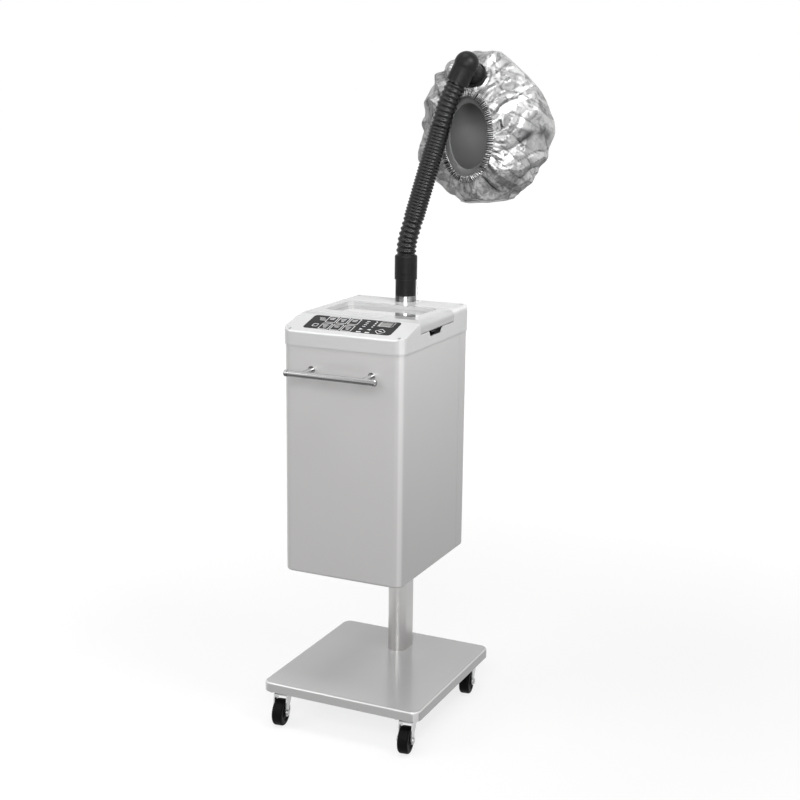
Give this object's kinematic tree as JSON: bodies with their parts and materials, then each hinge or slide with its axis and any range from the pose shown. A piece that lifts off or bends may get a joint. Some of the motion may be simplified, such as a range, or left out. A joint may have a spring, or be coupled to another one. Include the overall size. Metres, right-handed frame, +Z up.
{
  "type": "salon hair steamer",
  "caption": "Free-standing hair steamer on casters: cabinet on a pole, swivelling ribbed hose and a soft silver hood with an elastic face opening.",
  "frame": {"origin": "on the floor, under the middle of the whole steamer's bounding box", "axes": "+Z up, the keypad and handle face -Y, +X to the right of someone who faces the keypad"},
  "size_m": [0.453, 0.6732, 1.4749],
  "materials": {
    "silver_paint": "semi-gloss metallic silver paint",
    "silver_plastic": "smooth silver moulding",
    "steel": "bright zinc or satin steel",
    "pole_steel": "satin, drawn lengthwise",
    "chrome": "polished",
    "copper_tin": "tinned",
    "brass": "turned",
    "black_plastic": "fine-grained matt black",
    "hose_black": "matt, slightly satin on the ribs",
    "wheel_black": "satin black nylon and tread",
    "dark_grey_plastic": "smooth satin",
    "silver_cloth": "aluminised crinkled cloth",
    "keypad_film": "satin membrane film",
    "window": "smoked grey window",
    "board": "circuit board",
    "tank_plastic": "milky",
    "valve_plastic": "moulded coil body",
    "red_plastic": "moulded"
  },
  "bodies": {
    "cabinet": {"base_tray": "silver_paint", "base_plate": "steel", "base_stiffener": "steel", "caster_plates": "steel", "caster_bolts": "steel", "pole_tube": "pole_steel", "pole_plugs": "steel", "pole_flange": "steel", "pole_bolts": "steel", "cabinet_shell": "silver_paint", "rear_panel": "silver_paint", "rear_screws": "steel", "bottom_pan": "steel", "chassis": "steel", "top_cover": "silver_plastic", "cover_screws": "steel", "lid_pins": "steel", "keypad": "keypad_film", "display_window": "window", "control_board": "board", "handle_bar": "chrome", "handle_posts": "chrome", "water_tank": "tank_plastic", "filler_strainer": "tank_plastic", "feed_pipe": "tank_plastic", "feed_valve": "valve_plastic", "boiler": "copper_tin", "heating_element": "copper_tin", "steam_riser": "copper_tin", "drain_valve": "brass", "power_board": "board", "power_inlet": "black_plastic", "power_switch": "black_plastic", "outlet_pipe": "chrome", "cuff_spring": "steel"},
    "caster_fl": {"caster_fork_fl": "steel", "caster_axle_fl": "steel"},
    "wheel_fl": {"caster_wheel_fl": "wheel_black"},
    "caster_fr": {"caster_fork_fr": "steel", "caster_axle_fr": "steel"},
    "wheel_fr": {"caster_wheel_fr": "wheel_black"},
    "caster_rl": {"caster_fork_rl": "steel", "caster_axle_rl": "steel"},
    "wheel_rl": {"caster_wheel_rl": "wheel_black"},
    "caster_rr": {"caster_fork_rr": "steel", "caster_axle_rr": "steel"},
    "wheel_rr": {"caster_wheel_rr": "wheel_black"},
    "lid": {"lid": "silver_plastic", "tray_insert": "silver_plastic"},
    "arm": {"hose_cuff": "black_plastic", "hose": "hose_black", "elbow": "black_plastic"},
    "hood": {"hood_collar": "black_plastic", "hood_nut": "black_plastic", "hood_dome": "dark_grey_plastic", "hood_cover": "silver_cloth", "elastic_band": "silver_cloth"},
    "rocker": {"switch_rocker": "red_plastic"},
    "drain_handle": {"drain_lever": "red_plastic"}
  },
  "joints": [
    {"name": "caster_swivel_fl", "type": "hinge", "parent": "cabinet", "child": "caster_fl", "pos_m": [-0.19051, -0.25534, 0.07], "axis": [0, 0, 1], "continuous": true},
    {"name": "wheel_spin_fl", "type": "hinge", "parent": "caster_fl", "child": "wheel_fl", "pos_m": [-0.18772, -0.27515, 0.03], "axis": [0.9903, 0.1392, 0], "continuous": true},
    {"name": "caster_swivel_fr", "type": "hinge", "parent": "cabinet", "child": "caster_fr", "pos_m": [0.11749, -0.25534, 0.07], "axis": [0, 0, 1], "continuous": true},
    {"name": "wheel_spin_fr", "type": "hinge", "parent": "caster_fr", "child": "wheel_fr", "pos_m": [0.12028, -0.27515, 0.03], "axis": [0.9903, 0.1392, 0], "continuous": true},
    {"name": "caster_swivel_rl", "type": "hinge", "parent": "cabinet", "child": "caster_rl", "pos_m": [-0.19051, 0.08665, 0.07], "axis": [0, 0, 1], "continuous": true},
    {"name": "wheel_spin_rl", "type": "hinge", "parent": "caster_rl", "child": "wheel_rl", "pos_m": [-0.18772, 0.06685, 0.03], "axis": [0.9903, 0.1392, 0], "continuous": true},
    {"name": "caster_swivel_rr", "type": "hinge", "parent": "cabinet", "child": "caster_rr", "pos_m": [0.11749, 0.08665, 0.07], "axis": [0, 0, 1], "continuous": true},
    {"name": "wheel_spin_rr", "type": "hinge", "parent": "caster_rr", "child": "wheel_rr", "pos_m": [0.12028, 0.06685, 0.03], "axis": [0.9903, 0.1392, 0], "continuous": true},
    {"name": "lid_hinge", "type": "hinge", "parent": "cabinet", "child": "lid", "pos_m": [-0.17251, -0.10734, 0.908], "axis": [0, -1, 0], "range_deg": [0, 50]},
    {"name": "arm_swivel", "type": "hinge", "parent": "cabinet", "child": "arm", "pos_m": [-0.03651, 0.03565, 0.96], "axis": [0, 0, 1], "continuous": true},
    {"name": "hood_swivel", "type": "hinge", "parent": "arm", "child": "hood", "pos_m": [0.07745, 0.08879, 1.44794], "axis": [0, 0.848, -0.5299], "range_deg": [-25, 25]},
    {"name": "switch_rock", "type": "hinge", "parent": "cabinet", "child": "rocker", "pos_m": [-0.11251, 0.06865, 0.464], "axis": [0, 0, 1], "range_deg": [-16, 0]},
    {"name": "drain_turn", "type": "hinge", "parent": "cabinet", "child": "drain_handle", "pos_m": [-0.06651, -0.01534, 0.3512], "axis": [0, -1, 0], "range_deg": [0, 90]}
  ]
}
